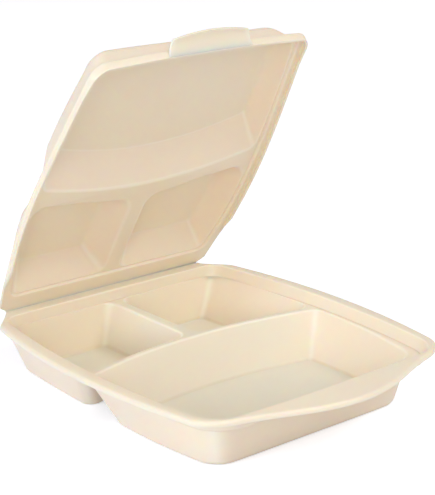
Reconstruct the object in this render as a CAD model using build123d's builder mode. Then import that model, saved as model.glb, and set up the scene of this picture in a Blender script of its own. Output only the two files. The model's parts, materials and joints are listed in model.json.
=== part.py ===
from build123d import *
import os

# Hinged meal box, formed from one sheet: a tray with three cups, and a lid with three pans
# that folds up from the tray's back edge. X runs along the fold, the front is towards -Y and
# Z is up. The origin is on the floor, under the middle of the large cup. Outlines are given by
# x and by reach, which is the distance in front of the fold.

# Sheet and fold
wall = 1.8
fold_gap = 0.3
lid_angle = 58.7
tray_height = 43.0
origin_reach = 180.0

# Tray rim: half widths and reaches of its outline, stepped in from its widest and foremost spots
tray_half = 120.4
shoulder_step = 11.4
hinge_step = 19.0
cheek_step = 10.6
lip_root_step = 24.8
lip_flank_half = 40.0
lip_reach = 278.6
lip_flank_rise = 7.6
lip_root_rise = 23.6
cheek_rise = 44.6
waist_reach = 124.0
shoulder_reach = 21.0
shoulder_radius = 9.0
lip_root_slope_share = 0.22
rim_drop = 3.6
rim_radius = 2.2

shoulder_half = tray_half - shoulder_step
hinge_half = shoulder_half - hinge_step
cheek_half = tray_half - cheek_step
lip_root_half = cheek_half - lip_root_step
lip_flank_reach = lip_reach - lip_flank_rise
lip_root_reach = lip_reach - lip_root_rise
cheek_reach = lip_reach - cheek_rise

# Tray collar, the recess that the lid's edge sinks into
flange_width = 10.5
back_flange_width = 10.5
lip_width = 26.6
crease_bow = 1.5
crease_step = 10.3
collar_depth = 8.5
collar_draft = 3.0
collar_back_draft_share = 0.33
collar_back_bow = 0.5
collar_back_radius = 14.0
collar_front_radius = 24.0

collar_half = tray_half - flange_width
collar_back_half = shoulder_half - flange_width
crease_reach = lip_reach - lip_width
crease_half = cheek_half - crease_step

# Ridges between the cups
ridge_reach = 106.9
ridge_bow = 19.5
ridge_width = 4.6
divider_width = 9.0

# Large cup: ledges between the collar and its opening, then drafts down to its floor
big_ledge_back = 5.3
big_ledge_mid = 8.5
big_ledge_corner = 9.5
big_ledge_front = 14.5
big_open_front_bow = 1.5
big_open_front_radius = 20.0
big_draft_back = 17.0
big_draft_mid = 14.2
big_draft_corner = 7.5
big_draft_front = 6.0
big_floor_front_bow = 1.5
big_floor_front_radius = 16.0
big_back_draft = 17.0
cup_corner_radius = 9.0
cup_floor_radius = 5.0

big_open_back_half = collar_half - big_ledge_back
big_open_mid_half = collar_half - big_ledge_mid
big_open_front_half = crease_half - big_ledge_corner
big_open_front_reach = crease_reach - big_ledge_front
big_floor_back_half = big_open_back_half - big_draft_back
big_floor_mid_half = big_open_mid_half - big_draft_mid
big_floor_front_half = big_open_front_half - big_draft_corner
big_floor_front_reach = big_open_front_reach - big_draft_front

# Small cups: ledges between the collar and their openings, then drafts down to their floors
small_ledge_back = 2.5
small_ledge_mid = 8.2
small_ledge_front = 5.1
small_ledge_reach = 1.1
small_draft_back = 13.5
small_draft_mid = 16.7
small_draft_outer = 18.5
small_draft_reach = 3.2
small_front_draft = 16.0
divider_draft = 8.0

small_open_back_half = collar_back_half - small_ledge_back
small_open_mid_half = collar_half - small_ledge_mid
small_open_front_half = collar_half - small_ledge_front
small_open_back_reach = back_flange_width + small_ledge_reach
small_floor_back_half = small_open_back_half - small_draft_back
small_floor_mid_half = small_open_mid_half - small_draft_mid
small_floor_front_half = small_open_front_half - small_draft_outer
small_floor_back_reach = small_open_back_reach + small_draft_reach

# Lid rim as it lies when shut: clearances from the collar's widest and foremost spots
lid_heel_clearance = 13.9
lid_hip_clearance = 6.7
lid_waist_clearance = 3.9
lid_flank_clearance = 7.9
lid_cheek_clearance = 15.7
lid_brow_clearance = 27.9
lid_front_clearance = 13.5
lid_heel_reach = 5.0
lid_hip_reach = 50.0
lid_waist_reach = 85.0
lid_flank_reach = 160.0
lid_cheek_rise = 16.5
lid_brow_rise = 2.5
lid_brow_slope_share = 0.07
lid_rim_radius = 1.4
skirt_drop = 4.0
skirt_draft = 1.2
skirt_start_reach = 26.0

lid_heel_half = collar_half - lid_heel_clearance
lid_hip_half = collar_half - lid_hip_clearance
lid_waist_half = collar_half - lid_waist_clearance
lid_flank_half = collar_half - lid_flank_clearance
lid_cheek_half = collar_half - lid_cheek_clearance
lid_brow_half = collar_half - lid_brow_clearance
lid_front_reach = crease_reach - lid_front_clearance
lid_cheek_reach = lid_front_reach - lid_cheek_rise
lid_brow_reach = lid_front_reach - lid_brow_rise

# Lid recess inside the rim, and the ribs between the pans
lid_height = 20.0
recess_depth = 2.0
recess_draft = 1.0
recess_margin = 5.7
recess_back_margin = 5.5
recess_corner_margin = 6.6
recess_front_margin = 6.0
recess_back_step = 9.5
recess_front_bow = 1.5
recess_radius = 9.0
rib_front_reach = 108.0
rib_front_bow = 23.0
rib_width = 13.5
rib_back_bow = 19.0
lid_divider_width = 13.0

recess_back_half = lid_heel_half - recess_back_margin
recess_back_reach = lid_heel_reach + recess_back_step
recess_front_half = lid_cheek_half - recess_corner_margin
recess_front_reach = lid_front_reach - recess_front_margin
rib_back_reach = rib_front_reach - rib_width

# Front pan: ledges between the lid's edge and its opening, then drafts up to its roof
front_pan_ledge_back = 10.0
front_pan_ledge_mid = 9.0
front_pan_ledge_corner = 3.1
front_pan_ledge_front = 1.9
front_pan_front_bow = 1.5
front_pan_draft_back = 9.0
front_pan_draft_mid = 8.5
front_pan_draft_corner = 5.5
front_pan_draft_front = 2.8
front_pan_back_draft = 22.5
front_pan_back_bow = 29.0
front_pan_corner_radius = 17.0

front_pan_open_back_half = lid_waist_half - front_pan_ledge_back
front_pan_open_mid_half = lid_flank_half - front_pan_ledge_mid
front_pan_open_front_half = recess_front_half - front_pan_ledge_corner
front_pan_open_front_reach = recess_front_reach - front_pan_ledge_front
front_pan_roof_back_half = front_pan_open_back_half - front_pan_draft_back
front_pan_roof_mid_half = front_pan_open_mid_half - front_pan_draft_mid
front_pan_roof_front_half = front_pan_open_front_half - front_pan_draft_corner
front_pan_roof_front_reach = front_pan_open_front_reach - front_pan_draft_front

# Rear pans: ledges between the lid's edge and their openings, then drafts up to their roofs
rear_pan_ledge_back = 3.0
rear_pan_ledge_mid = 8.2
rear_pan_ledge_front = 9.7
rear_pan_ledge_reach = 2.0
rear_pan_draft_back = 7.5
rear_pan_draft_mid = 9.0
rear_pan_draft_outer = 8.8
rear_pan_draft_reach = 16.0
rear_pan_front_draft = 4.5
rear_pan_divider_draft = 14.5
rear_pan_corner_radius = 14.0
pan_roof_radius = 6.0

rear_pan_open_back_half = recess_back_half - rear_pan_ledge_back
rear_pan_open_back_reach = recess_back_reach + rear_pan_ledge_reach
rear_pan_open_mid_half = lid_hip_half - rear_pan_ledge_mid
rear_pan_open_front_half = lid_waist_half - rear_pan_ledge_front
rear_pan_roof_back_half = rear_pan_open_back_half - rear_pan_draft_back
rear_pan_roof_back_reach = rear_pan_open_back_reach + rear_pan_draft_reach
rear_pan_roof_mid_half = rear_pan_open_mid_half - rear_pan_draft_mid
rear_pan_roof_front_half = rear_pan_open_front_half - rear_pan_draft_outer

# Locking tongue, which overlaps the lid's front edge and stands out from it
tongue_half = 32.0
tongue_overlap = 4.5
tongue_side_length = 8.0
tongue_tip_bow = 4.3

tongue_root_reach = lid_front_reach - tongue_overlap
tongue_end_reach = lid_front_reach + tongue_side_length
tongue_reach = tongue_end_reach + tongue_tip_bow

fold_y = origin_reach
rim_level = tray_height
ledge_level = tray_height - collar_depth
fold_axis = Axis((0, fold_y, rim_level), (1, 0, 0))


def spot(x, reach):
    return (x, fold_y - reach)


def side_of(start, middle, end):
    """One side of a bay: an arc through three spots, or a line where there is no middle."""
    if middle is None:
        return Line(spot(*start), spot(*end))
    return ThreePointArc(spot(*start), spot(*middle), spot(*end))


def bay(level, corners, middles, front_radius, back_radius):
    """Four-sided outline with rounded corners. Corners and middles run round the bay."""
    with BuildSketch(Plane.XY.offset(level)) as outline:
        with BuildLine():
            for start, middle, end in zip(corners, middles, corners[1:] + corners[:1]):
                side_of(start, middle, end)
        make_face()
        fillet(outline.vertices().sort_by(Axis.Y)[:2], front_radius)
        fillet(outline.vertices().sort_by(Axis.Y)[-2:], back_radius)
    return outline.sketch


def wide_bay(level, back, mid, front, front_radius, back_radius, grow=0):
    """Symmetric bay from (half width, reach) of its back corners, side middles and front
    corners, with the reach of the back and front middles given third."""
    corners = [
        (-back[0] - grow, back[1] - grow),
        (back[0] + grow, back[1] - grow),
        (front[0] + grow, front[1] + grow),
        (-front[0] - grow, front[1] + grow),
    ]
    middles = [
        (0, back[2] - grow),
        (mid[0] + grow, mid[1]),
        (0, front[2] + grow),
        (-mid[0] - grow, mid[1]),
    ]
    return bay(level, corners, middles, front_radius + grow, back_radius + grow)


def corner_bay(level, inner_half, back, mid, front_half, front_at, radius, grow=0):
    """Bay beside the divider: a straight inner side and back, a bowed outer side from the
    back's (half width, reach) through mid, and a front that follows front_at."""
    inner = inner_half - grow
    outer = front_half + grow
    corners = [
        (inner, back[1] - grow),
        (back[0] + grow, back[1] - grow),
        (outer, front_at(outer) + grow),
        (inner, front_at(inner) + grow),
    ]
    front_mid = (inner + outer) / 2
    middles = [None, (mid[0] + grow, mid[1]), (front_mid, front_at(front_mid) + grow), None]
    return bay(level, corners, middles, radius + grow, radius + grow)


def ridge_at(x, reach, bow):
    """Reach of a bowed ridge at a place x along it, the bow counted at the tray's half width."""
    return reach + bow * (x / tray_half) ** 2


def formed(opening, end, radius):
    """Plug from an opening to its floor or roof, whose edge is rounded."""
    end_level = end.center().Z
    with BuildPart() as plug:
        loft(sections=[opening, end])
        end_face = plug.faces().filter_by(Plane.XY).sort_by(lambda f: abs(f.center().Z - end_level))[0]
        fillet(end_face.edges(), radius)
    return plug.part


def tray_rim(level, back_reach, inset=0):
    """Tray outline with the crescent lip at its front, drawn smaller all round by inset."""
    with BuildSketch(Plane.XY.offset(level)) as rim:
        with BuildLine():
            back = Line(spot(0, back_reach), spot(hinge_half - inset, back_reach))
            cut = Line(back @ 1, spot(shoulder_half - inset, shoulder_reach))
            side = ThreePointArc(
                cut @ 1,
                spot(tray_half - inset, waist_reach),
                spot(cheek_half - inset, cheek_reach),
            )
            lip = Spline(
                spot(lip_root_half, lip_root_reach - inset),
                spot(lip_flank_half, lip_flank_reach - inset),
                spot(0, lip_reach - inset),
                tangents=((-1, -lip_root_slope_share), (-1, 0)),
            )
            Spline(side @ 1, lip @ 0, tangents=(side % 1, lip % 0))
            mirror(about=Plane.YZ)
        make_face()
        shoulders = [v for v in rim.vertices() if abs(v.Y - fold_y + shoulder_reach) < wall / 4]
        fillet(shoulders, shoulder_radius)
    return rim.sketch


def collar_outline(level, inset, grow=0):
    back_reach = back_flange_width + inset * collar_back_draft_share
    back_half = collar_back_half - inset
    front_reach = crease_reach - inset
    return wide_bay(
        level,
        (back_half, back_reach, back_reach - collar_back_bow),
        (collar_half - inset, waist_reach),
        (crease_half - inset, front_reach - crease_bow, front_reach),
        collar_front_radius,
        collar_back_radius,
        grow,
    )


big_ridge_reach = ridge_reach + ridge_width / 2
small_ridge_reach = ridge_reach - ridge_width / 2


def big_cup(opening_level, floor_level, grow):
    opening = wide_bay(
        opening_level,
        (big_open_back_half, ridge_at(big_open_back_half, big_ridge_reach, ridge_bow), big_ridge_reach),
        (big_open_mid_half, (big_ridge_reach + big_open_front_reach) / 2 + ridge_bow / 2),
        (big_open_front_half, big_open_front_reach - big_open_front_bow, big_open_front_reach),
        big_open_front_radius,
        cup_corner_radius,
        grow,
    )
    back_reach = big_ridge_reach + big_back_draft
    floor = wide_bay(
        floor_level,
        (big_floor_back_half, ridge_at(big_floor_back_half, back_reach, ridge_bow), back_reach),
        (big_floor_mid_half, (back_reach + big_floor_front_reach) / 2 + ridge_bow / 2),
        (big_floor_front_half, big_floor_front_reach - big_floor_front_bow, big_floor_front_reach),
        big_floor_front_radius,
        cup_corner_radius,
        grow,
    )
    return formed(opening, floor, cup_floor_radius + grow)


def small_cup(opening_level, floor_level, grow):
    inner = divider_width / 2
    front_reach = small_ridge_reach - small_front_draft
    opening = corner_bay(
        opening_level,
        inner,
        (small_open_back_half, small_open_back_reach),
        (small_open_mid_half, small_ridge_reach / 2),
        small_open_front_half,
        lambda x: ridge_at(x, small_ridge_reach, ridge_bow),
        cup_corner_radius,
        grow,
    )
    floor = corner_bay(
        floor_level,
        inner + divider_draft,
        (small_floor_back_half, small_floor_back_reach),
        (small_floor_mid_half, small_ridge_reach / 2),
        small_floor_front_half,
        lambda x: ridge_at(x, front_reach, ridge_bow),
        cup_corner_radius,
        grow,
    )
    return formed(opening, floor, cup_floor_radius + grow)


with BuildPart() as base_tray:
    # rim flange with its edge turned down, but flat along the fold
    add(tray_rim(rim_level - rim_drop, fold_gap))
    extrude(amount=rim_drop)
    rim_edges = base_tray.faces().sort_by(Axis.Z)[-1].edges()
    fillet([e for e in rim_edges if e.center().Y < fold_y - fold_gap - wall], rim_radius)
    add(tray_rim(rim_level - rim_drop, -wall, wall))
    extrude(amount=rim_drop - wall, mode=Mode.SUBTRACT)
    # outer skins of the collar and cups
    loft(
        sections=[
            collar_outline(rim_level - wall, collar_draft * wall / collar_depth, wall),
            collar_outline(ledge_level - wall, collar_draft, wall),
        ]
    )
    add(big_cup(ledge_level - wall, 0, wall))
    add(small_cup(ledge_level - wall, 0, wall))
    add(mirror(small_cup(ledge_level - wall, 0, wall), about=Plane.YZ, mode=Mode.PRIVATE))
    # inner skins
    loft(
        sections=[collar_outline(rim_level, 0), collar_outline(ledge_level, collar_draft)],
        mode=Mode.SUBTRACT,
    )
    add(big_cup(ledge_level, wall, 0), mode=Mode.SUBTRACT)
    add(small_cup(ledge_level, wall, 0), mode=Mode.SUBTRACT)
    add(
        mirror(small_cup(ledge_level, wall, 0), about=Plane.YZ, mode=Mode.PRIVATE),
        mode=Mode.SUBTRACT,
    )

lid_level = rim_level + fold_gap
skirt_level = rim_level - skirt_drop
recess_level = lid_level + recess_depth
roof_level = lid_level + lid_height


def lid_rim(level, inset=0, back_reach=fold_gap):
    """Outline of the shut lid, drawn smaller all round by inset."""
    with BuildSketch(Plane.XY.offset(level)) as rim:
        with BuildLine():
            back = Line(spot(0, back_reach), spot(hinge_half - inset, back_reach))
            heel = Line(back @ 1, spot(lid_heel_half - inset, lid_heel_reach))
            side = Spline(
                heel @ 1,
                spot(lid_hip_half - inset, lid_hip_reach),
                spot(lid_waist_half - inset, lid_waist_reach),
                spot(lid_flank_half - inset, lid_flank_reach),
                spot(lid_cheek_half - inset, lid_cheek_reach),
            )
            brow = Spline(
                spot(lid_brow_half, lid_brow_reach - inset),
                spot(0, lid_front_reach - inset),
                tangents=((-1, -lid_brow_slope_share), (-1, 0)),
            )
            Spline(side @ 1, brow @ 0, tangents=(side % 1, brow % 0))
            mirror(about=Plane.YZ)
        make_face()
    return rim.sketch


def recess_outline(level, inset, grow=0):
    margin = recess_margin + inset - grow
    back_half = recess_back_half - inset + grow
    back_reach = recess_back_reach + inset - grow
    front_half = recess_front_half - inset + grow
    front_reach = recess_front_reach - inset / 2 + grow
    with BuildSketch(Plane.XY.offset(level)) as outline:
        with BuildLine():
            back = Line(spot(0, back_reach), spot(back_half, back_reach))
            side = Spline(
                back @ 1,
                spot(lid_hip_half - margin, lid_hip_reach),
                spot(lid_waist_half - margin, lid_waist_reach),
                spot(lid_flank_half - margin, lid_flank_reach),
                spot(front_half, front_reach - recess_front_bow),
            )
            ThreePointArc(side @ 1, spot(0, front_reach), spot(-front_half, front_reach - recess_front_bow))
            mirror(side, about=Plane.YZ)
            mirror(back, about=Plane.YZ)
        make_face()
        fillet([v for v in outline.vertices() if abs(v.X) > recess_margin], recess_radius + grow)
    return outline.sketch


def front_pan(opening_level, end_level, grow):
    opening = wide_bay(
        opening_level,
        (
            front_pan_open_back_half,
            ridge_at(front_pan_open_back_half, rib_front_reach, rib_front_bow),
            rib_front_reach,
        ),
        (front_pan_open_mid_half, (rib_front_reach + front_pan_open_front_reach) / 2),
        (
            front_pan_open_front_half,
            front_pan_open_front_reach - front_pan_front_bow,
            front_pan_open_front_reach,
        ),
        front_pan_corner_radius,
        front_pan_corner_radius,
        grow,
    )
    back_reach = rib_front_reach + front_pan_back_draft
    roof = wide_bay(
        end_level,
        (
            front_pan_roof_back_half,
            ridge_at(front_pan_roof_back_half, back_reach, front_pan_back_bow),
            back_reach,
        ),
        (front_pan_roof_mid_half, (back_reach + front_pan_roof_front_reach) / 2),
        (
            front_pan_roof_front_half,
            front_pan_roof_front_reach - front_pan_front_bow,
            front_pan_roof_front_reach,
        ),
        front_pan_corner_radius,
        front_pan_corner_radius,
        grow,
    )
    return formed(opening, roof, pan_roof_radius + grow)


def rear_pan(opening_level, end_level, grow):
    inner = lid_divider_width / 2
    front_reach = rib_back_reach - rear_pan_front_draft
    opening = corner_bay(
        opening_level,
        inner,
        (rear_pan_open_back_half, rear_pan_open_back_reach),
        (rear_pan_open_mid_half, rib_back_reach / 2),
        rear_pan_open_front_half,
        lambda x: ridge_at(x, rib_back_reach, rib_back_bow),
        rear_pan_corner_radius,
        grow,
    )
    roof = corner_bay(
        end_level,
        inner + rear_pan_divider_draft,
        (rear_pan_roof_back_half, rear_pan_roof_back_reach),
        (rear_pan_roof_mid_half, rib_back_reach / 2 + rear_pan_open_back_reach / 2),
        rear_pan_roof_front_half,
        lambda x: ridge_at(x, front_reach, rib_back_bow),
        rear_pan_corner_radius,
        grow,
    )
    return formed(opening, roof, pan_roof_radius + grow)


with BuildPart() as lid:
    # rim with its edge turned towards the tray, but flat near the fold
    add(lid_rim(lid_level))
    extrude(amount=wall)
    loft(sections=[lid_rim(lid_level), lid_rim(skirt_level, skirt_draft)])
    top_edges = lid.faces().sort_by(Axis.Z)[-1].edges()
    fillet([e for e in top_edges if e.center().Y < fold_y - lid_heel_reach], lid_rim_radius)
    loft(
        sections=[lid_rim(lid_level, wall), lid_rim(skirt_level, skirt_draft + wall)],
        mode=Mode.SUBTRACT,
    )
    with BuildSketch(Plane.XY.offset(skirt_level)):
        with Locations(spot(0, skirt_start_reach / 2)):
            Rectangle(2 * tray_half, skirt_start_reach)
    extrude(amount=lid_level - skirt_level, mode=Mode.SUBTRACT)
    # locking tongue
    with BuildSketch(Plane.XY.offset(lid_level)):
        with BuildLine():
            root = Line(spot(tongue_half, tongue_root_reach), spot(-tongue_half, tongue_root_reach))
            left = Line(root @ 1, spot(-tongue_half, tongue_end_reach))
            tip = ThreePointArc(left @ 1, spot(0, tongue_reach), spot(tongue_half, tongue_end_reach))
            Line(tip @ 1, root @ 0)
        make_face()
    extrude(amount=wall)
    # outer skins of the recess and pans
    loft(
        sections=[
            recess_outline(lid_level + wall, recess_draft * wall / recess_depth, wall),
            recess_outline(recess_level + wall, recess_draft, wall),
        ]
    )
    add(front_pan(recess_level + wall, roof_level, wall))
    add(rear_pan(recess_level + wall, roof_level, wall))
    add(mirror(rear_pan(recess_level + wall, roof_level, wall), about=Plane.YZ, mode=Mode.PRIVATE))
    # inner skins
    loft(
        sections=[recess_outline(lid_level, 0), recess_outline(recess_level, recess_draft)],
        mode=Mode.SUBTRACT,
    )
    add(front_pan(recess_level, roof_level - wall, 0), mode=Mode.SUBTRACT)
    add(rear_pan(recess_level, roof_level - wall, 0), mode=Mode.SUBTRACT)
    add(
        mirror(rear_pan(recess_level, roof_level - wall, 0), about=Plane.YZ, mode=Mode.PRIVATE),
        mode=Mode.SUBTRACT,
    )

# The lid is drawn shut, and turned up to where it stands open
open_lid = lid.part.rotate(fold_axis, -lid_angle)
open_lid.label = "lid"
os.makedirs("parts", exist_ok=True)
base_tray.part.label = "base_tray"
export_step(base_tray.part, "parts/base_tray.step")
export_step(open_lid, "parts/lid.step")
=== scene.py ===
import bpy
import bmesh
import json
import math
import numpy as np
from mathutils import Matrix, Vector
from mathutils.geometry import tessellate_polygon


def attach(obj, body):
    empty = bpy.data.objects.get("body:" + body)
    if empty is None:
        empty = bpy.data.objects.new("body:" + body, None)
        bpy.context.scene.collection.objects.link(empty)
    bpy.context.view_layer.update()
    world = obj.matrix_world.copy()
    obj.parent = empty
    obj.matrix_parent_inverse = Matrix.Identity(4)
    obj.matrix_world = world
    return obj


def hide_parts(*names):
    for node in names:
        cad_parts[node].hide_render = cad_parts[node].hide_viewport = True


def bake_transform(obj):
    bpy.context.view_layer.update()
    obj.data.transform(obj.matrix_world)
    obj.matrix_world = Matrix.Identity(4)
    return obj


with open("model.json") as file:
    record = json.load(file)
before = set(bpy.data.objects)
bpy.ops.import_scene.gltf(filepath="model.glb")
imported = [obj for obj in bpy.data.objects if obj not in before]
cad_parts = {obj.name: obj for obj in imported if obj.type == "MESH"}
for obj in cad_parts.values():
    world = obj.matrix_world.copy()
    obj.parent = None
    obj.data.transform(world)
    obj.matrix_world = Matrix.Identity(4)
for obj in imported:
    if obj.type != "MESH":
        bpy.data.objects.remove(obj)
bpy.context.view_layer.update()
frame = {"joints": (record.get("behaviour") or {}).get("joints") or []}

MM = 0.001
IMAGE_HEIGHT = 495
SENSOR = 36.0

fold = Vector(frame["joints"][0]["pos_m"])

# Sheet and fold, in millimetres
wall = 1.8
cut_edge_radius = 0.5
least_radius = 0.4
fold_gap = 0.3
lid_angle = 58.7
tray_height = 43.0

# Tray rim: half widths and reaches, the distances in front of the fold
hinge_half = 90.0
shoulder_half = 109.0
shoulder_reach = 21.0
shoulder_radius = 9.0
tray_half = 120.4
waist_reach = 124.0
cheek_half = 109.8
cheek_reach = 234.0
lip_root_half = 85.0
lip_root_reach = 255.0
lip_flank_half = 40.0
lip_flank_reach = 271.0
lip_reach = 278.6
lip_root_slope_share = 0.22
rim_drop = 3.6
rim_radius = 2.2
edge_start = 0.5
edge_full = 7.0

# Tray collar
flange_width = 10.5
back_flange_width = 10.5
crease_reach = 252.0
crease_bow = 1.5
crease_half = 99.5
collar_depth = 8.5
collar_draft = 3.0
collar_back_radius = 14.0
collar_front_radius = 24.0
collar_back_draft_share = 0.33
collar_back_bow = 0.5
collar_crest_radius = 1.5
collar_foot_radius = 1.0
# Painted light on the collar: a painted highlight along its crest, painted shade along its foot
collar_painted_light = (0.6, -0.8, 0.0)

# Ridges and cups
ridge_reach = 106.9
ridge_bow = 19.5
ridge_width = 4.6
divider_width = 9.0
crest_radius = 2.6
least_ledge = 0.25
big_open_back_half = 104.6
big_open_mid_half = 101.4
big_open_front_half = 90.0
big_open_front_reach = 237.5
big_open_front_radius = 20.0
big_front_bow = 1.5
big_floor_back_half = 87.6
big_floor_mid_half = 87.2
big_floor_front_half = 82.5
big_floor_front_reach = 231.5
big_floor_front_radius = 16.0
big_back_draft = 17.0
cup_corner_radius = 9.0
cup_foot_corner_radius = 6.0
cup_floor_radius = 3.5
# Painted light in the cups: a painted highlight along the crests and in the corners, painted shade along the
# floor's foot
cup_painted_light = (0.8, -0.5, 1.0)
small_open_back_half = 96.0
small_open_mid_half = 101.7
small_open_front_half = 104.8
small_open_back_reach = 11.6
small_floor_back_half = 82.5
small_floor_mid_half = 85.0
small_floor_front_half = 86.3
small_floor_back_reach = 14.8
small_front_draft = 16.0
divider_draft = 8.0

# Lid rim
lid_heel_half = 96.0
lid_heel_reach = 5.0
lid_hip_half = 103.2
lid_hip_reach = 50.0
lid_waist_half = 106.0
lid_waist_reach = 85.0
lid_flank_half = 102.0
lid_flank_reach = 160.0
lid_cheek_half = 94.2
lid_cheek_reach = 224.0
lid_brow_half = 84.0
lid_brow_reach = 236.0
lid_front_reach = 238.5
lid_brow_slope_share = 0.07
skirt_drop = 4.0
skirt_front_drop = 6.0
skirt_front_start = 208.0
skirt_draft = 1.2
skirt_radius = 1.2
skirt_start = 24.0
skirt_full = 38.0

# Lid recess, ribs and pans
lid_height = 20.0
recess_depth = 2.0
recess_draft = 1.0
recess_margin = 5.7
recess_back_half = 90.5
recess_back_reach = 14.5
recess_front_half = 87.6
recess_front_reach = 232.5
recess_front_bow = 1.5
recess_radius = 9.0
recess_crest_radius = 1.6
recess_foot_radius = 0.8
# Painted light in the lid's recess: a painted highlight along its crest, painted shade along its foot
recess_painted_light = (0.4, -0.3, 0.0)
rib_front_reach = 108.0
rib_front_bow = 23.0
rib_back_reach = 94.5
rib_back_bow = 19.0
lid_divider_width = 13.0
front_open_back_half = 96.0
front_open_mid_half = 93.0
front_open_front_half = 84.5
front_open_front_reach = 230.6
front_roof_back_half = 87.0
front_roof_mid_half = 84.5
front_roof_front_half = 79.0
front_roof_front_reach = 227.8
front_back_draft = 22.5
front_back_bow = 29.0
front_pan_front_bow = 1.5
front_pan_corner_radius = 11.0
rear_open_back_half = 87.5
rear_open_back_reach = 16.5
rear_open_mid_half = 95.0
rear_open_front_half = 96.3
rear_roof_back_half = 80.0
rear_roof_back_reach = 32.5
rear_roof_mid_half = 86.0
rear_roof_front_half = 87.5
rear_front_draft = 4.5
rear_divider_draft = 14.5
rear_pan_corner_radius = 14.0
pan_back_corner_radius = 8.0
pan_roof_corner_radius = 5.0
front_roof_radii = (3.5, 9.0, 7.0, 9.0)
rear_roof_radii = (4.0, 8.0, 8.0, 8.0)
front_crest_radii = (6.0, 3.5, 3.0, 3.5)
rear_crest_radii = (3.0, 3.5, 7.0, 5.0)
# Painted highlights on the lid's pans, by side: along the crests, along the roof bends and in the corners
front_pan_painted_light = ((1.2, 0.3, 0.3, 0.3), (0.9, 0.1, 0.1, 0.1), (1.4, 0.4, 0.2, 0.4))
rear_pan_painted_light = ((0.6, 0.3, 0.5, 0.7), (0.4, 0.1, 0.0, 0.1), (1.4, 0.4, 0.1, 0.4))

# Locking tongue
tongue_half = 32.5
tongue_root_half = 36.0
tongue_end_reach = 246.5
tongue_reach = 250.8
tongue_start_reach = 236.6
tongue_root_rise = 0.75
tongue_wall = 1.6
# Painted highlight along the tongue's two side edges
tongue_side_highlight = 1.0

# Pressed crease between the halves
fold_radius = 0.9
fold_wall = 1.45
# Painted highlight along the pressed crease, which lifts the shade in the fold
fold_painted_light = 0.5
fold_overlap = 0.6
fold_half = 89.5

# Finish of the sheet: sizes in millimetres, and the share of a paler colour painted on as a
# highlight over crests, corners and cut edges, and of a deeper colour painted on as shade in creases
cream = "#f1e6d5"
warm_cream = "#eee2ce"
painted_highlight_cream = "#fbf6ec"
painted_shade_cream = "#dcc8a4"
painted_highlight_share = 0.4
painted_shade_share = 0.6
cloud_size = 38.0
cell_size = 1.6
grain_depth = 0.1
grain_strength = 0.12
least_roughness = 0.36
most_roughness = 0.46
sheet_ior = 1.49
glow_depth = 4.0
glow_by_channel = (1.0, 0.62, 0.34)

# Studio, in metres
floor_half = 3.0
floor_lift = 0.5
fill_strength = 0.456
lamp_size = 1.6
lamp_aim = (0, 0, 0.05)

# Camera, solved from the outlines of the object in the photograph: degrees, pixels and
# millimetres
camera_azimuth = -39.984
camera_elevation = 17.653
focal_pixels = 1563.63
camera_from_fold = (-661.4, -921.8, 391.0)

# Fineness of the meshes
SIDE_STEPS = 30
CORNER_STEPS = 9
BEND_STEPS = 6
WALL_STEPS = 6
TONGUE_STEPS = 17
TONGUE_LENGTH_STEPS = 8
FOLD_STEPS = 9
CORNER_SHARPNESS = 3
BETWEEN_STEPS = 6
NEAR_END = 0.002
CLOSING_SHARES = (0.98, 0.75, 0.5, 0.25)
MERGE_DISTANCE = 0.02
LEAST_ROOM = 0.1
EVEN_TURNS = 6
EDGE_SHARES = (0.5, 1.0)
CUT_SEGMENTS = 2
CUT_ANGLE = 50.0

# Name of the point attribute of painted light: above 0 a painted highlight, below 0 painted shade
PAINTED_LIGHT = "painted_light"


def linear(hex_colour):
    """Linear RGBA of an sRGB hex colour."""
    channels = [int(hex_colour[i:i + 2], 16) / 255 for i in (1, 3, 5)]
    return [c / 12.92 if c <= 0.04045 else ((c + 0.055) / 1.055) ** 2.4 for c in channels] + [1.0]


def add_node(tree, kind, settings=None, inputs=None, links=None):
    """Adds a node to a tree with its settings, input values and incoming links."""
    node = tree.nodes.new(kind)
    for name, value in (settings or {}).items():
        setattr(node, name, value)
    for name, value in (inputs or {}).items():
        node.inputs[name].default_value = value
    for name, output in (links or {}).items():
        tree.links.new(output, node.inputs[name])
    return node


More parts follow.
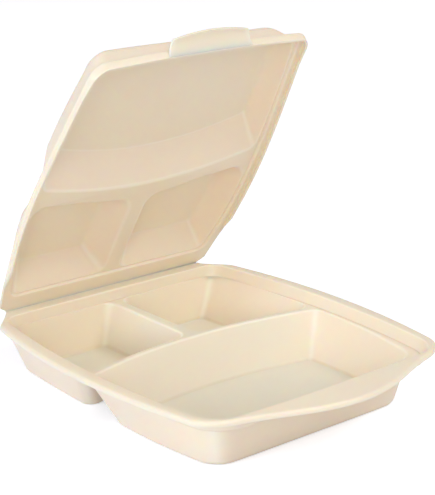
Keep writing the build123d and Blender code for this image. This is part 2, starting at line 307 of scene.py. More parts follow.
def foamed_sheet():
    """Thermoformed foamed plastic, taken to be polypropylene: an even cream, satin skin with a
    faint grain of fine cells, slightly translucent, so that hollows glow warmer than the lit
    outer walls. A paler colour is painted on as a highlight over crests, corners and cut
    edges, and a deeper colour is painted on as shade in creases."""
    material = bpy.data.materials.new("thermoformed_foamed_sheet")
    material.use_nodes = True
    tree = material.node_tree
    tree.nodes.clear()
    place = add_node(tree, "ShaderNodeTexCoord")
    clouds = add_node(
        tree,
        "ShaderNodeTexNoise",
        inputs={"Scale": 1 / (cloud_size * MM), "Detail": 3.0, "Roughness": 0.5},
        links={"Vector": place.outputs["Object"]},
    )
    tint = add_node(
        tree,
        "ShaderNodeMix",
        settings={"data_type": "RGBA"},
        links={"Factor": clouds.outputs["Fac"]},
    )
    tint.inputs["A"].default_value = linear(cream)
    tint.inputs["B"].default_value = linear(warm_cream)
    # Painted light of each point: above 0 a painted highlight, below 0 painted shade
    painted_light = add_node(tree, "ShaderNodeAttribute", settings={"attribute_name": PAINTED_LIGHT})
    # Share of the paler colour, which is a painted highlight
    drawn = add_node(
        tree,
        "ShaderNodeMapRange",
        inputs={"From Min": 0.0, "From Max": 1.0, "To Min": 0.0, "To Max": painted_highlight_share},
        links={"Value": painted_light.outputs["Fac"]},
    )
    paler = add_node(
        tree,
        "ShaderNodeMix",
        settings={"data_type": "RGBA"},
        links={"Factor": drawn.outputs["Result"]},
    )
    tree.links.new(tint.outputs["Result"], paler.inputs["A"])
    paler.inputs["B"].default_value = linear(painted_highlight_cream)
    # Share of the deeper colour, which is painted shade in creases
    closed = add_node(
        tree,
        "ShaderNodeMapRange",
        inputs={"From Min": 0.0, "From Max": -1.0, "To Min": 0.0, "To Max": painted_shade_share},
        links={"Value": painted_light.outputs["Fac"]},
    )
    deeper = add_node(
        tree,
        "ShaderNodeMix",
        settings={"data_type": "RGBA"},
        links={"Factor": closed.outputs["Result"]},
    )
    tree.links.new(paler.outputs["Result"], deeper.inputs["A"])
    deeper.inputs["B"].default_value = linear(painted_shade_cream)
    cells = add_node(
        tree,
        "ShaderNodeTexNoise",
        inputs={"Scale": 1 / (cell_size * MM), "Detail": 2.0, "Roughness": 0.6},
        links={"Vector": place.outputs["Object"]},
    )
    grain = add_node(
        tree,
        "ShaderNodeBump",
        inputs={"Strength": grain_strength, "Distance": grain_depth * MM},
        links={"Height": cells.outputs["Fac"]},
    )
    sheen = add_node(
        tree,
        "ShaderNodeMapRange",
        inputs={"To Min": least_roughness, "To Max": most_roughness},
        links={"Value": clouds.outputs["Fac"]},
    )
    shader = add_node(
        tree,
        "ShaderNodeBsdfPrincipled",
        inputs={
            "IOR": sheet_ior,
            "Subsurface Weight": 1.0,
            "Subsurface Radius": glow_by_channel,
            "Subsurface Scale": glow_depth * MM,
        },
        links={
            "Base Color": deeper.outputs["Result"],
            "Roughness": sheen.outputs["Result"],
            "Normal": grain.outputs["Normal"],
        },
    )
    add_node(tree, "ShaderNodeOutputMaterial", links={"Surface": shader.outputs["BSDF"]})
    return material


def floor_finish():
    """Pale matt board. It is seen as white where it is lit, and it keeps the shadow."""
    material = bpy.data.materials.new("matt_white_board")
    material.use_nodes = True
    tree = material.node_tree
    tree.nodes.clear()
    path = add_node(tree, "ShaderNodeLightPath")
    board = add_node(tree, "ShaderNodeBsdfDiffuse", inputs={"Color": linear("#e6e9f0")})
    seen = add_node(
        tree,
        "ShaderNodeMath",
        settings={"operation": "MAXIMUM"},
    )
    tree.links.new(path.outputs["Is Camera Ray"], seen.inputs[0])
    tree.links.new(path.outputs["Is Glossy Ray"], seen.inputs[1])
    lift = add_node(
        tree,
        "ShaderNodeMath",
        settings={"operation": "MULTIPLY"},
    )
    lift.inputs[1].default_value = floor_lift
    tree.links.new(seen.outputs["Value"], lift.inputs[0])
    glow = add_node(
        tree,
        "ShaderNodeEmission",
        inputs={"Color": linear("#ffffff")},
        links={"Strength": lift.outputs["Value"]},
    )
    both = add_node(tree, "ShaderNodeAddShader")
    tree.links.new(board.outputs["BSDF"], both.inputs[0])
    tree.links.new(glow.outputs["Emission"], both.inputs[1])
    add_node(tree, "ShaderNodeOutputMaterial", links={"Surface": both.outputs["Shader"]})
    return material


def add_floor():
    mesh = bpy.data.meshes.new("floor")
    corners = [(x * floor_half, y * floor_half, 0) for x, y in ((-1, -1), (1, -1), (1, 1), (-1, 1))]
    mesh.from_pydata(corners, [], [(0, 1, 2, 3)])
    floor = bpy.data.objects.new("floor", mesh)
    bpy.context.scene.collection.objects.link(floor)
    mesh.materials.append(floor_finish())


def add_world():
    """Even studio surround. Seen directly, it is plain white."""
    world = bpy.data.worlds.new("studio")
    bpy.context.scene.world = world
    world.use_nodes = True
    tree = world.node_tree
    tree.nodes.clear()
    path = add_node(tree, "ShaderNodeLightPath")
    fill = add_node(
        tree,
        "ShaderNodeBackground",
        inputs={"Color": linear("#fff6f7"), "Strength": fill_strength},
    )
    seen = add_node(tree, "ShaderNodeBackground", inputs={"Color": linear("#ffffff"), "Strength": 1.0})
    choose = add_node(tree, "ShaderNodeMixShader", links={"Fac": path.outputs["Is Camera Ray"]})
    tree.links.new(fill.outputs["Background"], choose.inputs[1])
    tree.links.new(seen.outputs["Background"], choose.inputs[2])
    add_node(tree, "ShaderNodeOutputWorld", links={"Surface": choose.outputs["Shader"]})


def add_lamp(name, place, power, colour):
    """Round soft lamp at a place in metres, aimed at the box, with its power in watts."""
    lamp = bpy.data.lights.new(name, "AREA")
    lamp.shape = "DISK"
    lamp.size = lamp_size
    lamp.energy = power
    lamp.color = linear(colour)[:3]
    holder = bpy.data.objects.new(name, lamp)
    bpy.context.scene.collection.objects.link(holder)
    holder.location = place
    holder.rotation_euler = (Vector(lamp_aim) - Vector(place)).to_track_quat("-Z", "Y").to_euler()


def add_camera():
    azimuth = math.radians(camera_azimuth)
    elevation = math.radians(camera_elevation)
    data = bpy.data.cameras.new("camera")
    data.sensor_width = SENSOR
    data.lens = focal_pixels * SENSOR / IMAGE_HEIGHT
    camera = bpy.data.objects.new("camera", data)
    bpy.context.scene.collection.objects.link(camera)
    camera.location = fold + Vector(camera_from_fold) * MM
    back = Vector((
        math.sin(azimuth) * math.cos(elevation),
        -math.cos(azimuth) * math.cos(elevation),
        math.sin(elevation),
    ))
    camera.rotation_euler = (-back).to_track_quat("-Z", "Y").to_euler()
    bpy.context.scene.camera = camera


def spot(x, reach):
    return np.array([x, reach], float)


def bow(start, middle, end):
    """Shallow arc through a middle spot, as a function of the share of its length."""
    chord = end - start
    rise = 0
    if middle is not None:
        share = np.dot(middle - start, chord) / np.dot(chord, chord)
        rise = (middle - start - share * chord) / (4 * share * (1 - share))
    return lambda s: start + s * chord + 4 * s * (1 - s) * rise


def spline(spots, first=None, last=None):
    """Smooth curve through spots, as a function of the share of its length. An end runs in the
    direction given for it, or straight out where there is none."""
    spots = np.array(spots)
    steps = np.linalg.norm(np.diff(spots, axis=0), axis=1)
    knots = np.concatenate([[0], np.cumsum(steps)])
    count = len(spots)
    matrix = np.zeros((count, count))
    right = np.zeros((count, 2))
    for i in range(1, count - 1):
        matrix[i, i - 1] = steps[i]
        matrix[i, i] = 2 * (steps[i - 1] + steps[i])
        matrix[i, i + 1] = steps[i - 1]
        before = (spots[i] - spots[i - 1]) / steps[i - 1]
        after = (spots[i + 1] - spots[i]) / steps[i]
        right[i] = 3 * (before * steps[i] + after * steps[i - 1])
    for row, near, step, way in ((0, 1, 0, first), (count - 1, count - 2, count - 2, last)):
        matrix[row, row] = 2 if way is None else 1
        if way is None:
            matrix[row, near] = 1
            right[row] = 3 * (spots[step + 1] - spots[step]) / steps[step]
        else:
            right[row] = np.array(way, float) / np.linalg.norm(way)
    slopes = np.linalg.solve(matrix, right)

    def at(share):
        place = share * knots[-1]
        i = min(int(np.searchsorted(knots, place, side="right")) - 1, count - 2)
        u = (place - knots[i]) / steps[i]
        start = spots[i] * (1 + 2 * u) * (1 - u) ** 2 + slopes[i] * steps[i] * u * (1 - u) ** 2
        end = spots[i + 1] * (3 - 2 * u) * u ** 2 + slopes[i + 1] * steps[i] * (u - 1) * u ** 2
        return start + end

    return at


def joined(curves):
    """Runs curves together as one, each over an equal share."""
    def at(share):
        i = min(int(share * len(curves)), len(curves) - 1)
        return curves[i](share * len(curves) - i)

    return at


def flipped(curve):
    """The same curve on the other side of the middle plane, run the other way."""
    return lambda s: curve(1 - s) * np.array([-1, 1])


def unit(vector):
    return vector / np.linalg.norm(vector)


class Loop:
    """Closed run of spots. Its shares say how far each spot belongs to each side, which is to
    two of them in a corner."""

    def __init__(self, spots, shares):
        self.spots = spots
        self.shares = shares

    def spread(self, values):
        """One value for the whole loop, or one for each side, as a value at every spot."""
        if np.ndim(values) == 0:
            return np.full(len(self.spots), float(values))
        return self.shares @ np.array(values, float)

    def corners(self):
        """1 in the middle of each corner, and 0 along the sides."""
        ordered = np.sort(self.shares, axis=1)
        return (4 * ordered[:, -1] * ordered[:, -2]) ** CORNER_SHARPNESS

    def outward(self):
        after = np.roll(self.spots, -1, axis=0) - np.roll(self.spots, 1, axis=0)
        away = np.stack([after[:, 1], -after[:, 0]], axis=1)
        away /= np.linalg.norm(away, axis=1)[:, None]
        middle = self.spots.mean(axis=0)
        if np.mean(np.sum(away * (self.spots - middle), axis=1)) < 0:
            return -away
        return away

    def grown(self, width):
        return Loop(self.spots + self.outward() * width, self.shares)

    def mirrored(self):
        return Loop((self.spots * np.array([-1, 1]))[::-1], self.shares[::-1])


def rounded_loop(sides, radii):
    """Loop along the sides, with the corner after each side rounded off."""
    count = len(sides)
    lengths = [np.linalg.norm(side(1.0) - side(0.0)) for side in sides]
    turns = []
    for i, side in enumerate(sides):
        after = sides[(i + 1) % count]
        leave = unit(side(1.0) - side(1 - NEAR_END))
        meet = unit(after(NEAR_END) - after(0.0))
        turns.append(math.acos(min(1.0, float(np.dot(leave, meet)))))
    cuts = [radius * math.tan(turn / 2) for radius, turn in zip(radii, turns)]
    runs = []
    for i, side in enumerate(sides):
        first = cuts[i - 1] / lengths[i]
        last = 1 - cuts[i] / lengths[i]
        runs.append(np.array([side(s) for s in np.linspace(first, last, SIDE_STEPS)]))
    whole = np.eye(count)
    spots = []
    shares = []
    for i, run in enumerate(runs):
        spots.append(run)
        shares.append(np.tile(whole[i], (len(run), 1)))
        if not radii[i]:
            continue
        corner = sides[i](1.0)
        after = runs[(i + 1) % count][0]
        pull = 4 / 3 * math.tan(turns[i] / 4) / math.tan(turns[i] / 2)
        pull_in = run[-1] + (corner - run[-1]) * pull
        pull_out = after + (corner - after) * pull
        s = np.linspace(0, 1, CORNER_STEPS + 2)[1:-1, None]
        spots.append(
            run[-1] * (1 - s) ** 3
            + 3 * pull_in * s * (1 - s) ** 2
            + 3 * pull_out * s ** 2 * (1 - s)
            + after * s ** 3
        )
        mix = s * s * (3 - 2 * s)
        shares.append(whole[i] * (1 - mix) + whole[(i + 1) % count] * mix)
    spots = np.concatenate(spots)
    steps = np.linalg.norm(spots - np.roll(spots, 1, axis=0), axis=1)
    kept = steps > MERGE_DISTANCE
    return Loop(spots[kept], np.concatenate(shares)[kept])


def wide_loop(back, mid, front, front_radius, back_radius):
    """Symmetric bay, as (half width, reach) of its corners and side middles, with the reach of
    the back and front middles given third. Its sides run back, right, front, left."""
    corners = [
        spot(-back[0], back[1]),
        spot(back[0], back[1]),
        spot(front[0], front[1]),
        spot(-front[0], front[1]),
    ]
    middles = [spot(0, back[2]), spot(*mid), spot(0, front[2]), spot(-mid[0], mid[1])]
    sides = [bow(corners[i], middles[i], corners[(i + 1) % 4]) for i in range(4)]
    return rounded_loop(sides, [back_radius, front_radius, front_radius, back_radius])


def corner_loop(inner, back, mid, outer, front_at, radii):
    """Bay beside the divider, with a straight inner side and back. Its sides run back, outer,
    front, inner, and each radius is of the corner after its side."""
    corners = [spot(inner, back[1]), spot(*back), spot(outer, front_at(outer)), spot(inner, front_at(inner))]
    front_middle = spot((inner + outer) / 2, front_at((inner + outer) / 2))
    middles = [None, spot(*mid), front_middle, None]
    sides = [bow(corners[i], middles[i], corners[(i + 1) % 4]) for i in range(4)]
    return rounded_loop(sides, radii)


def evened(values):
    """A closed run of values, each evened out with its neighbours along the loop."""
    return (np.roll(values, 1) + values * 2 + np.roll(values, -1)) / 4


def room_to(spots, loops, slope, radius):
    """Bend radii, made smaller where a bend would run into the loops beyond it."""
    shares = np.arange(BETWEEN_STEPS) / BETWEEN_STEPS
    others = np.concatenate([
        loop + (np.roll(loop, -1, axis=0) - loop) * share for loop in loops for share in shares
    ])
    room = np.array([np.linalg.norm(others - place, axis=1).min() for place in spots]) - least_ledge
    radius = np.minimum(radius, np.maximum(room, LEAST_ROOM) / np.tan(slope / 2))
    for _ in range(EVEN_TURNS):
        radius = np.minimum(radius, evened(radius))
    return radius


def sheet_object(name, points, faces, painted_light_values):
    """Smooth object from points given as x, reach and height, with the painted light of each."""
    mesh = bpy.data.meshes.new(name)
    places = [(x * MM, fold.y - reach * MM, height * MM) for x, reach, height in points]
    mesh.from_pydata(places, [], faces)
    mesh.attributes.new(PAINTED_LIGHT, "FLOAT", "POINT").data.foreach_set("value", painted_light_values)
    shape = bmesh.new()
    shape.from_mesh(mesh)
    bmesh.ops.remove_doubles(shape, verts=shape.verts, dist=MERGE_DISTANCE * MM)
    bmesh.ops.recalc_face_normals(shape, faces=shape.faces)
    for face in shape.faces:
        face.smooth = True
    shape.to_mesh(mesh)
    shape.free()
    made = bpy.data.objects.new(name, mesh)
    bpy.context.scene.collection.objects.link(made)
    return made


class Sheet:
    """Formed sheet, collected as rings of points joined by strips and filled flats. Points are
    x, reach and height, each with its painted light: above 0 a painted highlight, and
    below 0 painted shade."""

    def __init__(self):
        self.points = []
        self.painted_light_values = []
        self.faces = []

    def ring(self, spots, height, painted_light=0.0):
        first = len(self.points)
        heights = np.broadcast_to(height, len(spots))
        self.points.extend((s[0], s[1], h) for s, h in zip(spots, heights))
        self.painted_light_values.extend(float(v) for v in np.broadcast_to(painted_light, len(spots)))
        return list(range(first, first + len(spots)))

    def strip(self, outer, inner):
        """Joins two rings of the same count."""
        for i in range(len(outer)):
            j = (i + 1) % len(outer)
            self.faces.append((outer[i], outer[j], inner[j], inner[i]))

    def fill(self, loops):
        """Fills the flat between an outer ring and the rings inside it."""
        order = [i for loop in loops for i in loop]
        flat = [[Vector((self.points[i][0], self.points[i][1], 0)) for i in loop] for loop in loops]
        for triangle in tessellate_polygon(flat):
            self.faces.append(tuple(order[k] for k in triangle))

    def step(self, top, top_height, foot, foot_height, radii, painted_light_by_bend, around=None, within=None):
        """Drafted wall from a loop at one height to a loop at another. Radii are of its upper
            and lower bend, and the painted light is given for those bends and for its corners, each for
            the whole loop or by side: above 0 a painted highlight, below 0 painted shade. A bend stays
            clear of the ring around it, or of the loops within it. Returns the first ring and the last."""
        run = foot.spots - top.spots
        width = np.linalg.norm(run, axis=1)
        inward = run / width[:, None]
        drop = foot_height - top_height
        sign = np.sign(drop)
        slope = np.arctan2(abs(drop), width)
        top_radius, foot_radius = (top.spread(radius) for radius in radii)
        crest, crease, corner = (top.spread(tint) for tint in painted_light_by_bend)
        corner = corner * top.corners()
        if around is not None:
            outer = np.array([self.points[i][:2] for i in around])
            top_radius = room_to(top.spots, [outer], slope, top_radius)
        if within is not None:
            inner = [loop.spots for loop in within]
            foot_radius = room_to(foot.spots, inner, slope, foot_radius * 2) / 2
        top_tangent = top_radius * np.tan(slope / 2)
        foot_tangent = foot_radius * np.tan(slope / 2)
        rings = []
        for share in np.linspace(0, 1, BEND_STEPS):
            angle = slope * share
            along = -top_tangent + top_radius * np.sin(angle)
            down = top_radius * (1 - np.cos(angle))
            # Painted highlight along the upper bend, and in the corners
            tint = crest * math.sin(math.pi * share) + corner * share
            rings.append(self.ring(top.spots + inward * along[:, None], top_height + sign * down, tint))
        wall_start = (-top_tangent + top_radius * np.sin(slope), top_radius * (1 - np.cos(slope)))
        wall_end = (
            width + foot_tangent - foot_radius * np.sin(slope),
            abs(drop) - foot_radius * (1 - np.cos(slope)),
        )
        for share in np.linspace(0, 1, WALL_STEPS)[1:-1]:
            along = wall_start[0] * (1 - share) + wall_end[0] * share
            down = wall_start[1] * (1 - share) + wall_end[1] * share
            rings.append(self.ring(top.spots + inward * along[:, None], top_height + sign * down, corner))
        for share in np.linspace(1, 0, BEND_STEPS):
            angle = slope * share
            along = width + foot_tangent - foot_radius * np.sin(angle)
            down = abs(drop) - foot_radius * (1 - np.cos(angle))
            # Painted light along the lower bend: painted shade where the value is below 0, a painted
            # highlight where it is above 0
            tint = crease * math.sin(math.pi * share) + corner * share
            rings.append(self.ring(top.spots + inward * along[:, None], top_height + sign * down, tint))
        for outer, inner in zip(rings, rings[1:]):
            self.strip(outer, inner)
        return rings[0], rings[-1]

    def close(self, ring, height):
        """Closes a flat bay with rings that shrink to its middle."""
        spots = np.array([self.points[i][:2] for i in ring])
        middle = spots.mean(axis=0)
        for share in CLOSING_SHARES:
            inner = self.ring(middle + (spots - middle) * share, height)
            self.strip(ring, inner)
            ring = inner
        centre = self.ring([middle], height)[0]
        for i in range(len(ring)):
            self.faces.append((ring[i], ring[(i + 1) % len(ring)], centre))

    def edge(self, loop, height, radius, drop, lean, inset, weight):
        """Edge turned down round the outside of a loop, where weight is 1, or left flat, where
        it is 0. Returns the last ring, and the ring where the flat begins."""
        outward = loop.outward()
        rings = []
        for share in np.linspace(0, 1, BEND_STEPS):
            angle = share * math.pi / 2
            shift = radius * (math.sin(angle) - 1) - inset * weight
            rings.append(self.ring(
                loop.spots + outward * shift[:, None],
                height - weight * radius * (1 - math.cos(angle)),
            ))
        for share in EDGE_SHARES:
            shift = -(inset + lean * share) * weight
            fall = radius + (drop - radius) * share
            rings.append(self.ring(loop.spots + outward * shift[:, None], height - weight * fall))
        for inner, outer in zip(rings, rings[1:]):
            self.strip(outer, inner)
        return rings[-1], rings[0]

    def mesh_object(self, name):
        return sheet_object(name, self.points, self.faces, self.painted_light_values)


def soften_cuts(piece):
    """Rounds the cut edges of the sheet."""
    soften = piece.modifiers.new("cut_edges", "BEVEL")
    soften.width = cut_edge_radius * MM
    soften.segments = CUT_SEGMENTS
    soften.limit_method = "ANGLE"
    soften.angle_limit = math.radians(CUT_ANGLE)
    soften.harden_normals = True


def inside_bend(radius, depth):
    """Radius at a depth into the sheet of a bend that tightens with depth: one value, or one
    for each side."""
    if np.ndim(radius):
        return [max(r - depth, least_radius) for r in radius]
    return max(radius - depth, least_radius)


def outside_bend(radius, depth):
    """The same, of a bend that widens with depth."""
    if np.ndim(radius):
        return [r + depth for r in radius]
    return radius + depth


def ridge_at(x, reach, bow_depth):
    return reach + bow_depth * (x / tray_half) ** 2


def tray_outline():
    hinge = spot(hinge_half, fold_gap)
    shoulder = spot(shoulder_half, shoulder_reach)
    cheek = spot(cheek_half, cheek_reach)
    side = bow(shoulder, spot(tray_half, waist_reach), cheek)
    lip = spline(
        [spot(lip_root_half, lip_root_reach), spot(lip_flank_half, lip_flank_reach), spot(0, lip_reach)],
        (-1, lip_root_slope_share),
        (-1, 0),
    )
    corner = spline([cheek, lip(0.0)], cheek - side(1 - NEAR_END), lip(NEAR_END) - lip(0.0))
    flank = joined([side, corner, lip])
    across = bow(hinge * np.array([-1, 1]), None, hinge)
    cut = bow(hinge, None, shoulder)
    return rounded_loop(
        [across, cut, flank, flipped(flank), flipped(cut)],
        [0, shoulder_radius, 0, shoulder_radius, 0],
    )


def collar_loop(inset):
    back_half = shoulder_half - flange_width - inset
    back_reach = back_flange_width + inset * collar_back_draft_share
    front_reach = crease_reach - inset
    return wide_loop(
        (back_half, back_reach, back_reach - collar_back_bow),
        (tray_half - flange_width - inset, waist_reach),
        (crease_half - inset, front_reach - crease_bow, front_reach),
        collar_front_radius,
        collar_back_radius,
    )


def turned_edge_weight(loop, start, full):
    """1 where an edge is turned, fading to 0 towards the fold."""
    share = np.clip((loop.spots[:, 1] - start) / (full - start), 0, 1)
    return share * share * (3 - 2 * share)


def cup_loops():
    """Openings and floors of the cups, the large one first."""
    big_back = ridge_reach + ridge_width / 2
    small_front = ridge_reach - ridge_width / 2
    foot_back = big_back + big_back_draft
    big_open = wide_loop(
        (big_open_back_half, ridge_at(big_open_back_half, big_back, ridge_bow), big_back),
        (big_open_mid_half, (big_back + big_open_front_reach) / 2 + ridge_bow / 2),
        (big_open_front_half, big_open_front_reach - big_front_bow, big_open_front_reach),
        big_open_front_radius,
        cup_corner_radius,
    )
    big_floor = wide_loop(
        (big_floor_back_half, ridge_at(big_floor_back_half, foot_back, ridge_bow), foot_back),
        (big_floor_mid_half, (foot_back + big_floor_front_reach) / 2 + ridge_bow / 2),
        (big_floor_front_half, big_floor_front_reach - big_front_bow, big_floor_front_reach),
        big_floor_front_radius,
        cup_foot_corner_radius,
    )
    small_open = corner_loop(
        divider_width / 2,
        (small_open_back_half, small_open_back_reach),
        (small_open_mid_half, small_front / 2),
        small_open_front_half,
        lambda x: ridge_at(x, small_front, ridge_bow),
        [cup_corner_radius] * 4,
    )
    small_floor = corner_loop(
        divider_width / 2 + divider_draft,
        (small_floor_back_half, small_floor_back_reach),
        (small_floor_mid_half, small_front / 2),
        small_floor_front_half,
        lambda x: ridge_at(x, small_front - small_front_draft, ridge_bow),
        [cup_foot_corner_radius] * 4,
    )
    return [(big_open, big_floor), (small_open, small_floor), (small_open.mirrored(), small_floor.mirrored())]


def tray_skin(sheet, depth):
    """The tray's skin at a depth into the sheet from the food side: rim with its edge turned
    down, collar, ledge and cups. Returns the ring at its cut edge."""
    rim = tray_height - depth
    ledge = rim - collar_depth
    outline = tray_outline()
    weight = turned_edge_weight(outline, edge_start, edge_full)
    cut, flat_rim = sheet.edge(
        outline, rim, inside_bend(rim_radius, depth), rim_drop - depth, 0.0, depth, weight
    )
    cups = [(opening.grown(depth), floor.grown(depth)) for opening, floor in cup_loops()]
    collar_top, collar_foot = sheet.step(
        collar_loop(0).grown(depth),
        rim,
        collar_loop(collar_draft).grown(depth),
        ledge,
        (inside_bend(collar_crest_radius, depth), outside_bend(collar_foot_radius, depth)),
        collar_painted_light,
        within=[opening for opening, floor in cups],
    )
    sheet.fill([flat_rim, collar_top])
    holes = []
    for opening, floor in cups:
        cup_rim, cup_end = sheet.step(
            opening,
            ledge,
            floor,
            wall - depth,
            (crest_radius if not depth else least_radius, outside_bend(cup_floor_radius, depth)),
            cup_painted_light,
            around=collar_foot,
        )
        sheet.close(cup_end, wall - depth)
        holes.append(cup_rim)
    sheet.fill([collar_foot] + holes)
    return cut


def build_tray():
    sheet = Sheet()
    sheet.strip(tray_skin(sheet, 0.0), tray_skin(sheet, wall))
    return sheet.mesh_object("tray_sheet")


def lid_outline():
    hinge = spot(hinge_half, fold_gap)
    side = spline([
        spot(lid_heel_half, lid_heel_reach),
        spot(lid_hip_half, lid_hip_reach),
        spot(lid_waist_half, lid_waist_reach),
        spot(lid_flank_half, lid_flank_reach),
        spot(lid_cheek_half, lid_cheek_reach),
    ])
    brow = spline(
        [spot(lid_brow_half, lid_brow_reach), spot(0, lid_front_reach)],
        (-1, lid_brow_slope_share),
        (-1, 0),
    )
    corner = spline([side(1.0), brow(0.0)], side(1.0) - side(1 - NEAR_END), brow(NEAR_END) - brow(0.0))
    flank = joined([side, corner, brow])
    across = bow(hinge * np.array([-1, 1]), None, hinge)
    heel = bow(hinge, None, side(0.0))
    return rounded_loop([across, heel, flank, flipped(flank), flipped(heel)], [0, 0, 0, 0, 0])


def recess_loop(inset):
    margin = recess_margin + inset
    back = spot(recess_back_half - inset, recess_back_reach + inset)
    front_reach = recess_front_reach - inset / 2
    front = spot(recess_front_half - inset, front_reach - recess_front_bow)
    side = spline([
        back,
        spot(lid_hip_half - margin, lid_hip_reach),
        spot(lid_waist_half - margin, lid_waist_reach),
        spot(lid_flank_half - margin, lid_flank_reach),
        front,
    ])
    flip = np.array([-1, 1])
    return rounded_loop(
        [bow(back * flip, None, back), side, bow(front, spot(0, front_reach), front * flip), flipped(side)],
        [recess_radius] * 4,
    )


def pan_loops():
    """Openings and roofs of the lid's pans, the front one first."""
    back_reach = rib_front_reach + front_back_draft
    front_open = wide_loop(
        (
            front_open_back_half,
            ridge_at(front_open_back_half, rib_front_reach, rib_front_bow),
            rib_front_reach,
        ),
        (front_open_mid_half, (rib_front_reach + front_open_front_reach) / 2),
        (front_open_front_half, front_open_front_reach - front_pan_front_bow, front_open_front_reach),
        front_pan_corner_radius,
        pan_back_corner_radius,
    )
    front_roof = wide_loop(
        (front_roof_back_half, ridge_at(front_roof_back_half, back_reach, front_back_bow), back_reach),
        (front_roof_mid_half, (back_reach + front_roof_front_reach) / 2),
        (front_roof_front_half, front_roof_front_reach - front_pan_front_bow, front_roof_front_reach),
        front_pan_corner_radius,
        pan_roof_corner_radius,
    )
    rear_open = corner_loop(
        lid_divider_width / 2,
        (rear_open_back_half, rear_open_back_reach),
        (rear_open_mid_half, rib_back_reach / 2),
        rear_open_front_half,
        lambda x: ridge_at(x, rib_back_reach, rib_back_bow),
        [pan_back_corner_radius, rear_pan_corner_radius, rear_pan_corner_radius, pan_back_corner_radius],
    )
    rear_roof = corner_loop(
        lid_divider_width / 2 + rear_divider_draft,
        (rear_roof_back_half, rear_roof_back_reach),
        (rear_roof_mid_half, (rib_back_reach + rear_open_back_reach) / 2),
        rear_roof_front_half,
        lambda x: ridge_at(x, rib_back_reach - rear_front_draft, rib_back_bow),
        [pan_roof_corner_radius, rear_pan_corner_radius, rear_pan_corner_radius, pan_roof_corner_radius],
    )
    return [(front_open, front_roof), (rear_open, rear_roof), (rear_open.mirrored(), rear_roof.mirrored())]


def lid_skin(sheet, depth):
    """The lid's skin at a depth into the sheet from the food side, drawn shut: rim with its
    edge turned towards the tray, recess, ribs and pans. Returns the ring at its cut edge."""
    rim = tray_height + fold_gap + depth
    floor = rim + recess_depth
    roof = rim + lid_height - wall
    outline = lid_outline()
    weight = turned_edge_weight(outline, skirt_start, skirt_full)
    front = turned_edge_weight(outline, skirt_front_start, lid_brow_reach)
    drop = skirt_drop + (skirt_front_drop - skirt_drop) * front + depth
    cut, flat_rim = sheet.edge(
        outline, rim, outside_bend(skirt_radius, depth), drop, skirt_draft, wall - depth, weight
    )
    pans = [(opening.grown(depth), top.grown(depth)) for opening, top in pan_loops()]
    recess_top, recess_foot = sheet.step(
        recess_loop(0).grown(depth),
        rim,
        recess_loop(recess_draft).grown(depth),
        floor,
        (inside_bend(recess_crest_radius, depth), outside_bend(recess_foot_radius, depth)),
        recess_painted_light,
        within=[opening for opening, top in pans],
    )
    sheet.fill([flat_rim, recess_top])
    holes = []
    for i, (opening, top) in enumerate(pans):
        crest_radii = rear_crest_radii if i else front_crest_radii
        roof_radii = rear_roof_radii if i else front_roof_radii
        pan_rim, pan_end = sheet.step(
            opening,
            floor,
            top,
            roof,
            (inside_bend(crest_radii, depth), outside_bend(roof_radii, depth)),
            rear_pan_painted_light if i else front_pan_painted_light,
            around=recess_foot,
        )
        sheet.close(pan_end, roof)
        holes.append(pan_rim)
    sheet.fill([recess_foot] + holes)
    return cut


def build_lid():
    sheet = Sheet()
    sheet.strip(lid_skin(sheet, 0.0), lid_skin(sheet, wall))
    return sheet.mesh_object("lid_sheet")


def banded_object(name, rows, painted_light_values):
    """Closed band of sheet, from rows of points that run round its section, one row for each
    place along it. Points are x, reach and height."""
    around = len(rows[0])
    points = [point for row in rows for point in row]
    faces = []
    for i in range(len(rows) - 1):
        for k in range(around):
            j = (k + 1) % around
            faces.append((i * around + k, i * around + j, (i + 1) * around + j, (i + 1) * around + k))
    last = (len(rows) - 1) * around
    faces.append(tuple(range(around)))
    faces.append(tuple(range(last + around - 1, last - 1, -1)))
    return sheet_object(name, points, faces, np.repeat(painted_light_values, around))


def section_of(line, thickness):
    """Outline of a sheet that follows a line of (reach, height) points."""
    line = np.array(line)
    ahead = np.gradient(line, axis=0)
    side = np.stack([-ahead[:, 1], ahead[:, 0]], axis=1)
    side *= thickness / 2 / np.linalg.norm(side, axis=1)[:, None]
    return np.concatenate([line + side, (line - side)[::-1]])


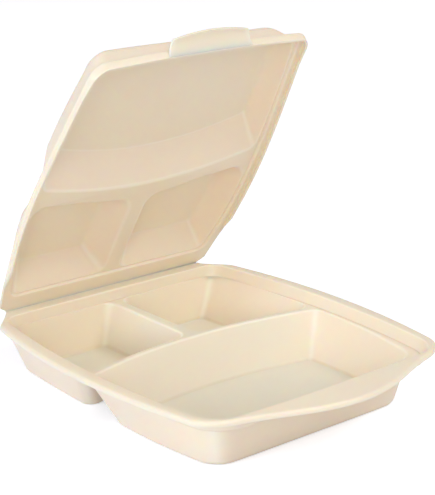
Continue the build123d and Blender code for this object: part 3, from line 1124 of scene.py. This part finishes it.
def build_tongue():
    """Locking tongue, which grows out of the turned edge at the lid's front. Drawn shut."""
    rows = []
    across = np.linspace(-1, 1, TONGUE_STEPS)
    root_height = tray_height + fold_gap - skirt_front_drop + tongue_root_rise
    tip_height = tray_height + fold_gap + wall / 2
    for s in across:
        tip_reach = tongue_end_reach + (tongue_reach - tongue_end_reach) * (1 - s * s)
        u = np.linspace(0, 1, TONGUE_LENGTH_STEPS)
        reaches = tongue_start_reach + (tip_reach - tongue_start_reach) * u
        heights = root_height + (tip_height - root_height) * (1 - (1 - u) ** 2)
        half = tongue_root_half + (tongue_half - tongue_root_half) * u
        section = section_of(np.stack([reaches, heights], axis=1), tongue_wall)
        places = zip(np.concatenate([half, half[::-1]]), section)
        rows.append([(width * s, reach, height) for width, (reach, height) in places])
    # The two side edges carry a painted highlight
    return banded_object("locking_tongue", rows, np.where(abs(across) == 1, tongue_side_highlight, 0.0))


def build_fold():
    """Pressed crease that joins the two halves, drawn where the lid stands open. It turns from
    the tray's sheet to the lid's round the fold."""
    start = np.array([fold_gap + fold_overlap, tray_height - fold_radius])
    line = [start]
    for angle in np.linspace(-90, lid_angle - 270, FOLD_STEPS):
        turn = math.radians(angle)
        line.append(np.array([fold_radius * math.cos(turn), tray_height + fold_radius * math.sin(turn)]))
    along = np.array([math.cos(math.radians(lid_angle)), math.sin(math.radians(lid_angle))])
    line.append(line[-1] + along * (fold_gap + fold_overlap))
    section = section_of(line, fold_wall)
    rows = [[(x, reach, height) for reach, height in section] for x in (-fold_half, 0, fold_half)]
    # The whole crease carries a painted highlight
    return banded_object("fold_crease", rows, np.full(3, fold_painted_light))


def swing_open(piece):
    """Turns a piece drawn shut up to where the lid stands open."""
    turn = Matrix.Rotation(math.radians(-lid_angle), 4, "X")
    piece.data.transform(Matrix.Translation(fold) @ turn @ Matrix.Translation(-fold))
    piece.data.update()


sheet_finish = foamed_sheet()
tray = build_tray()
lid = build_lid()
tongue = build_tongue()
crease = build_fold()
for piece in (tray, lid, tongue):
    soften_cuts(piece)
for piece in (tray, lid, tongue, crease):
    piece.data.materials.append(sheet_finish)
for piece in (lid, tongue):
    swing_open(piece)
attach(tray, "tray")
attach(lid, "lid")
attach(tongue, "lid")
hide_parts("base_tray")
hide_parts("lid")
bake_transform(crease)

add_floor()
add_world()
add_lamp("front", (-2.0, -2.4, 1.2), 30.6, "#fffaf4")
add_lamp("top", (1.2, -1.6, 2.6), 37.9, "#fefffe")
add_lamp("side", (-3.2, 0.3, 0.9), 49.2, "#e6f1ff")
add_camera()

bpy.context.scene.view_settings.view_transform = "Standard"
